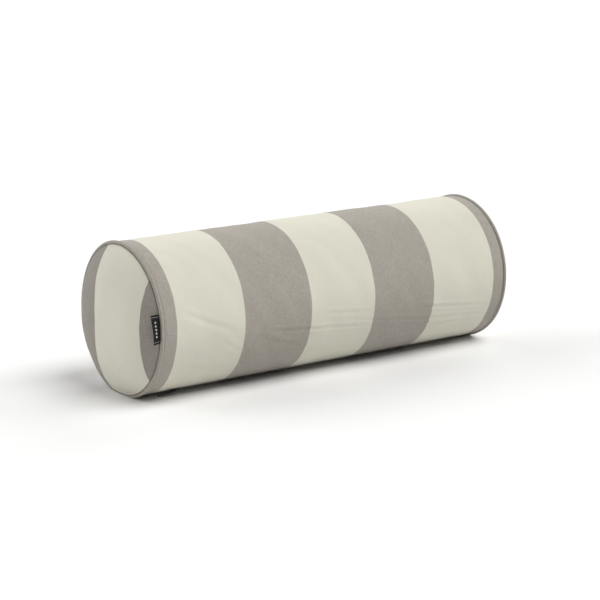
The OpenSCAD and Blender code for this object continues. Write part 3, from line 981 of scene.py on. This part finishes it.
def zip_tape(side):
    nx = 200
    x = np.linspace(-246.8, 246.8, nx)
    off = np.array([1.55, 1.75, 2.2, 3.2, 5.0, 7.2, 9.6, 12.0, 14.2, 15.1, 15.4])
    X, O = np.meshgrid(x, off, indexing="ij")
    n = 97.72 + 0.10 * np.sin(X / 23 + side) * smooth01((O - 4) / 8)
    th = TH - side * O / 98.0
    co = around(X.ravel(), n.ravel() + 0 * th.ravel(), th.ravel())
    s = "rear" if side > 0 else "front"
    ob = add(f"zip_ribbon_{s}", co, grid(nx, len(off), flip=(side < 0)), m_tape, [f"zip_tape_{s}"], attrs={"cu": X.ravel(), "cv": O.ravel()}, solid=0.5, thick_side=0.0)


def chamfered(outline, z0, z1, c):
    """A closed prism from a 2D outline, with its top and bottom edges cut back by c."""
    o = np.array(outline, float)
    ctr = o.mean(0)
    small = ctr + (o - ctr) * (1 - c / np.abs(o - ctr).max())
    m = len(o)
    layers = [(small, z0), (o, z0 + c), (o, z1 - c), (small, z1)]
    co = np.concatenate([np.column_stack([q, np.full(m, z)]) for q, z in layers])
    f = grid(4, m, close_v=True)
    f += [list(range(m))[::-1], [3 * m + j for j in range(m)]]
    return co, f


def zip_teeth(side):
    """Moulded teeth: a foot clamped on the tape, a neck and a rounded head that locks between two opposite heads."""
    pitch, t0, t1 = 2.8, -227.2, 229.4
    n = int((t1 - t0 - pitch) / pitch) + 1
    s0 = 0.0 if side < 0 else pitch / 2
    head = [(-0.50, -2.7), (0.50, -2.7), (0.56, -2.2), (0.50, -1.5), (0.30, -1.0), (0.30, -0.35), (0.46, -0.05), (0.60, 0.30), (0.52, 0.68), (0.25, 0.86),
            (-0.25, 0.86), (-0.52, 0.68), (-0.60, 0.30), (-0.46, -0.05), (-0.30, -0.35), (-0.30, -1.0), (-0.50, -1.5), (-0.56, -2.2)]
    co1, f1 = chamfered(head, 96.86, 99.14, 0.22)
    k = np.arange(n)
    cx = t0 + 0.4 + s0 + 0.6 + k * pitch
    co = np.repeat(co1[None], n, 0)
    co[:, :, 0] += cx[:, None]
    if side < 0:  # the head that would meet the slider's post when it parks at the far end is trimmed
        near = np.abs(cx - 219.0) < 0.5
        co[near, :, 1] = np.where(co[near, :, 1] > -1.0, -1.0 + 0.12 * (co[near, :, 1] + 1.0), co[near, :, 1])
    faces = [[i + j * len(co1) for i in q] for j in range(n) for q in f1]
    co = co.reshape(-1, 3)
    # the corded edge of the tape that the teeth are moulded on
    xs = np.linspace(t0 - 4.0, t1 + 4.0, 160)
    a = np.linspace(0, 2 * math.pi, 10, endpoint=False)
    X, A = np.meshgrid(xs, a, indexing="ij")
    bead = np.stack([X, -1.95 + 0.45 * np.cos(A), 98.0 + 0.62 * np.sin(A)], -1).reshape(-1, 3)
    bf = grid(len(xs), 10, close_v=True, flip=True)
    bf += [list(range(10)), [(len(xs) - 1) * 10 + j for j in range(10)][::-1]]
    faces += [[i + len(co) for i in q] for q in bf]
    co = np.vstack([co, bead])
    if side > 0:
        co[:, 1] *= -1
        faces = [f[::-1] for f in faces]
    # zip coordinates are left-handed here, so faces are turned
    co = zip_place(co)
    s = "rear" if side > 0 else "front"
    add(f"zip_chain_{s}", co, [f[::-1] for f in faces], m_plastic, [f"zip_teeth_{s}"], smooth=False)


for sd in (-1, 1):
    zip_tape(sd)
    zip_teeth(sd)


def joined(parts):
    """Several (points, faces) as one."""
    co, faces, base = [], [], 0
    for c, f in parts:
        c = np.asarray(c, float)
        co.append(c)
        faces += [[i + base for i in q] for q in f]
        base += len(c)
    return np.vstack(co), faces


def box(x0, x1, y0, y1, z0, z1, c=0.2):
    o = [(x0, y0), (x1, y0), (x1, y1), (x0, y1)]
    r = c
    o = [(x0 + r, y0), (x1 - r, y0), (x1, y0 + r), (x1, y1 - r), (x1 - r, y1), (x0 + r, y1), (x0, y1 - r), (x0, y0 + r)]
    return chamfered(o, z0, z1, c)


def rod_y(x, n, r, y0, y1, sides=20, c=0.15):
    """A round rod across the zip, with its ends cut back a little."""
    a = np.linspace(0, 2 * math.pi, sides, endpoint=False)
    co = []
    for y, rr in ((y0, r - c), (y0 + c, r), (y1 - c, r), (y1, r - c)):
        co.append(np.stack([x + rr * np.cos(a), np.full(sides, y), n + rr * np.sin(a)], -1))
    f = grid(4, sides, close_v=True, flip=True)
    f += [list(range(sides)), [3 * sides + j for j in range(sides)][::-1]]
    return np.concatenate(co), f


def metal(name, parts, node, body, mat, bevel=0.0, place=zip_place):
    co, faces = joined(parts)
    ob = add(name, place(co), [f[::-1] for f in faces], mat, [node], body=body, smooth=True)
    if bevel:
        m = ob.modifiers.new("bevel", "BEVEL")
        m.width = bevel * MM
        m.segments = 2
        m.limit_method = "ANGLE"
        m.angle_limit = math.radians(35)
    me = ob.data
    me.polygons.foreach_set("use_smooth", [False] * len(me.polygons))
    return ob


metal("zip_end_top", [box(-234.5, -232.0, -3.0, -1.3, 96.9, 99.1), box(-234.5, -232.0, 1.3, 3.0, 96.9, 99.1)], "zip_top_stops", "pillow", m_plastic, 0.12)
metal("zip_end_bottom", [box(230.05, 234.0, -2.75, 2.75, 96.6, 99.35)], "zip_bottom_stop", "pillow", m_plastic, 0.25)


def shield(x0, x1, hw, nose, tail):
    """Outline of a slider plate: rounded shoulders in front, drawn in behind."""
    pts = []
    L = x1 - x0
    for t in np.linspace(0, 1, 26):
        # half width along the slider
        w = hw * (1 - (1 - nose) * max(0, 1 - t / 0.16) ** 2.2 - (1 - tail) * max(0, (t - 0.55) / 0.45) ** 1.8)
        pts.append((x0 + L * t, w))
    low = [(x, -w) for x, w in pts]
    return low + pts[::-1]


def slider():
    P = []
    P.append(chamfered(shield(SX, SX + 11, 3.9, 0.70, 0.68), 99.5, 100.42, 0.16))
    P.append(chamfered(shield(SX, SX + 11, 3.9, 0.70, 0.68), 95.62, 96.55, 0.16))
    # the rolled sides of both plates
    for s in (-1, 1):
        for z0, z1 in ((98.62, 99.6), (96.4, 97.38)):
            ys = sorted((s * 3.28, s * 3.88))
            P.append(box(SX + 1.4, SX + 8.2, ys[0], ys[1], z0, z1, 0.14))
    # divider post
    P.append(chamfered([(SX + 0.5, -0.5), (SX + 1.2, -0.6), (SX + 1.65, -0.4), (SX + 1.65, 0.4), (SX + 1.2, 0.6), (SX + 0.5, 0.5)], 96.4, 99.7, 0.05))
    # lugs and pin
    for s in (-1, 1):
        y0, y1 = s * 2.0 - 0.4, s * 2.0 + 0.4
        P.append(rod_y(PIN_X, PIN_N, 1.1, y0, y1, 22, 0.12))
        P.append(box(PIN_X - 1.25, PIN_X + 1.25, y0, y1, 100.2, PIN_N, 0.1))
    P.append(rod_y(PIN_X, PIN_N, 0.6, -2.1, 2.1, 18, 0.05))
    # a raised rib from the lugs to the tail
    P.append(chamfered([(PIN_X + 2.0, -0.55), (SX + 9.6, -0.3), (SX + 9.6, 0.3), (PIN_X + 2.0, 0.55)], 100.3, 100.75, 0.1))
    return metal("slider_body", P, "zip_slider", "slider", m_enamel, 0.10)


slider()


def pull():
    """The pull tab, drawn along -X from its pin at the origin and then hung at its droop angle."""
    L, hw = 25.0, 2.5
    P = []

    def eye():
        a = np.linspace(0, 2 * math.pi, 24, endpoint=False)
        co = []
        for y, ro, ri in ((-1.42, 1.06, 0.74), (-1.3, 1.16, 0.68), (1.3, 1.16, 0.68), (1.42, 1.06, 0.74)):
            co.append((y, ro, ri))
        pts = []
        for y, ro, ri in co:
            pts.append(np.stack([ro * np.cos(a), np.full(24, y), ro * np.sin(a)], -1))
        for y, ro, ri in co[::-1]:
            pts.append(np.stack([ri * np.cos(a), np.full(24, y), ri * np.sin(a)], -1))
        f = grid(8, 24, close_u=True, close_v=True, flip=True)
        return np.concatenate(pts), f

    P.append(eye())
    P.append(box(-3.0, -0.86, -1.42, 1.42, -0.55, 0.55, 0.12))
    # the flat of the tab: waisted near the pin, rounded at the tip
    out = []
    for t in np.linspace(0, 1, 30):
        x = -2.0 - (L - 3.0) * t
        w = hw * (0.66 + 0.34 * smooth01(t / 0.16)) * (1 - 0.10 * math.sin(math.pi * min(1, max(0, (t - 0.1) / 0.8))))
        out.append((x, w))
    outline = [(x, w) for x, w in out] + [(x, -w) for x, w in out[::-1]]
    P.append(chamfered(outline, -0.80, 0.80, 0.2))
    # raised rim and a sunk middle
    for s in (-1, 1):
        rim = [(x, s * (w - 0.12)) for x, w in out[4:-1]] + [(x, s * (w - 0.72)) for x, w in out[4:-1][::-1]]
        if s < 0:
            rim = rim[::-1]
        P.append(chamfered(rim, -0.90, 0.90, 0.04))
    P.append(rod_y(-(L - 1.0), 0.0, 0.99, -hw + 0.05, hw - 0.05, 22, 0.25))

    def place(p):
        p = np.asarray(p, float)
        c, s = math.cos(DROOP), math.sin(DROOP)
        x, y, n = p[..., 0], p[..., 1], p[..., 2]
        # the tip swings outwards, away from the cloth
        q = np.stack([PIN_X + x * c + n * s, y, PIN_N - x * s + n * c], -1)
        return zip_place(q)

    return metal("pull_tab", P, "zip_pull_tab", "pull", m_enamel, 0.08, place)


pull()


# ---------------------------------------------------------------- labels
def brand_label():
    """A folded ribbon caught in the end seam. It stands out past the seam and leans a little, more at its lower end."""
    na = 34
    a = np.radians(np.linspace(105.4, 84.0, na))  # from its top end to its lower end
    W = 11.0
    path = [(-0.35, 0.28), (-0.1, 0.29), (0, 0.30), (2, 0.31), (4, 0.33), (6, 0.36), (8.2, 0.38), (9.6, 0.37), (10.4, 0.33), (10.85, 0.2), (W, 0.0)]
    path += [(a, -b) for a, b in path[-2::-1]]
    rows, cu, cv, fc = [], [], [], []
    for i, ai in enumerate(a):
        t = i / (na - 1)
        lean = math.radians(-7 + 27 * smooth01(np.array(t)) + 2.5 * math.sin(3.1 * t + 0.4))
        rad = np.array([0, -math.sin(ai), -math.cos(ai)])
        base = np.array([-282.3, 0, ZC]) + 97.85 * rad
        out = np.array([-1.0, 0, 0]) * math.cos(lean) + rad * math.sin(lean)
        nrm = rad * math.cos(lean) + np.array([1.0, 0, 0]) * math.sin(lean)
        for s, h in path:
            # curls back slightly towards the free edge
            curl = 0.010 * max(s, 0) ** 2 * (0.4 - 0.9 * t)
            inside = min(s, 0.0)
            p = base + out * max(s, 0) + nrm * (h + curl) + np.array([1.0, 0, 0]) * (-inside) * 0.55 - rad * (-inside) * 0.75
            rows.append(p)
            cu.append((t - 0.5) * 37.0)
            cv.append(max(s, 0))
            fc.append(1.0 if h > 0.05 else 0.0)
    co = np.array(rows)
    ob = add("woven_label", co, grid(na, len(path), flip=True), m_label, ["brand_label"], attrs={"cu": cu, "cv": cv, "face": fc}, solid=0.3, thick_side=0.0)


brand_label()


def care_label():
    nx, ny = 40, 22
    X, O = np.meshgrid(np.linspace(-266.3, -216.6, nx), np.linspace(22.2, 49.8, ny), indexing="ij")
    n = 97.22 + 0.06 * np.sin(X / 6.0) + 0.04 * np.sin(O / 4.0)
    th = TH + O / 98.0
    co = around(X.ravel(), n.ravel(), th.ravel())
    ob = add("care_ribbon", co, grid(nx, ny, flip=True), m_satin, ["care_label"], attrs={"cu": X.ravel(), "cv": O.ravel()}, solid=0.2, thick_side=0.0)


care_label()


# ---------------------------------------------------------------- insert
def liner():
    xs = spaced(-274.0, 274.0, lambda x: 2.0 if 274 - abs(x) < 8 else 6.0)
    n = 200
    th = np.linspace(0, 2 * math.pi, n, endpoint=False)
    X, T = np.meshgrid(xs, th, indexing="ij")
    r = 96.75 + 0.12 * field(X, T * R, 31, 8, 30, 90) + 0.10 * np.sin(T * 60) * np.exp(-(274 - np.abs(X)) / 8)
    co = around(X.ravel(), r.ravel(), T.ravel())
    co = press_zip(settle(co, 3.0, 0.5), 95.0, 0.5)
    ob = add("liner_tube", co, grid(len(xs), n, close_v=True), m_liner, ["liner_sleeve"], attrs={"cu": X.ravel(), "cv": (T * R).ravel()}, solid=0.4)
    for left in (True, False):
        prof = [(96.6, 274.2), (95.8, 275.3), (94.6, 276.4), (93.2, 278.0), (92.6, 280.6), (92.2, crown(92.2) - 1.6)]
        prof += [(q, crown(q) - 1.6) for q in 91.0 * (1 - np.linspace(0, 1, 30) ** 1.15)]
        co, f, t = revolve(prof, 160)
        y, z = co[:, 1].copy(), co[:, 2] - ZC
        rr = np.hypot(y, z)
        co[:, 0] += -0.15 - 0.15 * field(y, z, 33 + left, 6, 25, 70, 1e9) * smooth01((92 - rr) / 20)
        settle(co, 3.0, 0.5)
        if left:
            co[:, 0] *= -1
            f = [q[::-1] for q in f]
        side = "left" if left else "right"
        ob = add(f"liner_cap_{side}", co, [q[::-1] for q in f], m_liner, [f"liner_end_{side}"], attrs={"cu": y, "cv": z}, solid=0.4)


liner()


def filling():
    # wadding, rolled once round the core
    xs = np.linspace(-267.6, 267.6, 70)
    n = 160
    th = np.linspace(0, 2 * math.pi, n, endpoint=False)
    X, T = np.meshgrid(xs, th, indexing="ij")
    ro = 95.9 - 0.5 * np.abs(field(X, T * R, 41, 10, 18, 60)) - 0.9 * np.exp(-(((T - 4.0) / 0.03) ** 2))
    outer = press_zip(settle(around(X.ravel(), ro.ravel(), T.ravel()), 3.9, 0.5), 94.0, 0.5)
    inner = around(X.ravel(), np.full(X.size, 87.1), T.ravel())
    m = len(xs)
    fo = grid(m, n, close_v=True)
    fi = [[i + m * n for i in q[::-1]] for q in fo]
    ends = []
    for k, row in ((0, 0), (1, m - 1)):
        for j in range(n):
            j2 = (j + 1) % n
            q = [row * n + j, row * n + j2, m * n + row * n + j2, m * n + row * n + j]
            ends.append(q if k else q[::-1])
    ob = add("wadding_roll", np.vstack([outer, inner]), fo + fi + ends, m_wadding, ["wadding_wrap"])
    for left in (True, False):
        side = "left" if left else "right"
        prof = [(0.001, 268.2)] + [(q, 268.2) for q in (30, 60, 80, 90, 94.0)] + [(95.2, 269.2), (95.3, 272.0), (94.9, 274.2), (93.4, 276.0), (92.0, 278.5)]
        prof += [(q, crown(q) - 2.6) for q in 91.0 * (1 - np.linspace(0, 1, 26) ** 1.15)]
        co, f, t = revolve(prof, 128)
        y, z = co[:, 1].copy(), co[:, 2] - ZC
        front = co[:, 0] > 276
        co[:, 0] -= np.where(front, 0.2 + 0.5 * np.abs(field(y, z, 45 + left, 8, 14, 45, 1e9)), 0)
        co = settle(co, 3.9, 0.5)
        co = press_zip(co, 94.0, 0.5)
        if left:
            co[:, 0] *= -1
            f = [q[::-1] for q in f]
        ob = add(f"wadding_cap_{side}", co, [q[::-1] for q in f], m_wadding, [f"wadding_disc_{side}"])
    # foam core, cut with a hot wire: slightly rippled, edges eased
    prof = [(0.001, -267.4), (60, -267.4), (84.5, -267.4), (86.1, -266.8), (86.6, -265.2)]
    prof += [(86.6 + 0.06 * math.sin(x / 3.1), x) for x in np.linspace(-262, 262, 90)]
    prof += [(86.6, 265.2), (86.1, 266.8), (84.5, 267.4), (60, 267.4), (0.0, 267.4)]
    co, f, t = revolve(prof, 120)
    ob = add("foam_cylinder", co, [q[::-1] for q in f], m_foam, ["foam_core"])


filling()


# ---------------------------------------------------------------- floor
def floor_piece():
    n = 24
    s = np.linspace(-20000, 20000, n)
    X, Y = np.meshgrid(s, s, indexing="ij")
    me = bpy.data.meshes.new("studio_floor")
    me.from_pydata((np.stack([X.ravel(), Y.ravel(), np.zeros(X.size)], -1) * MM).tolist(), [], grid(n, n, flip=True))
    nd = Nodes("studio_floor_paint")
    p = nd.coords()
    a = nd.noise(p, 3.0, 4.0)
    nd.finish(nd.mix(a, (0.86, 0.86, 0.855), (0.885, 0.885, 0.88)), nd.range(a, 0.3, 0.7, 0.85, 0.92), nd.bump(nd.noise(p, 220.0, 2.0), 0.05, 0.0004))
    me.materials.append(nd.mat)
    ob = bpy.data.objects.new("studio_floor", me)
    bpy.context.scene.collection.objects.link(ob)


floor_piece()
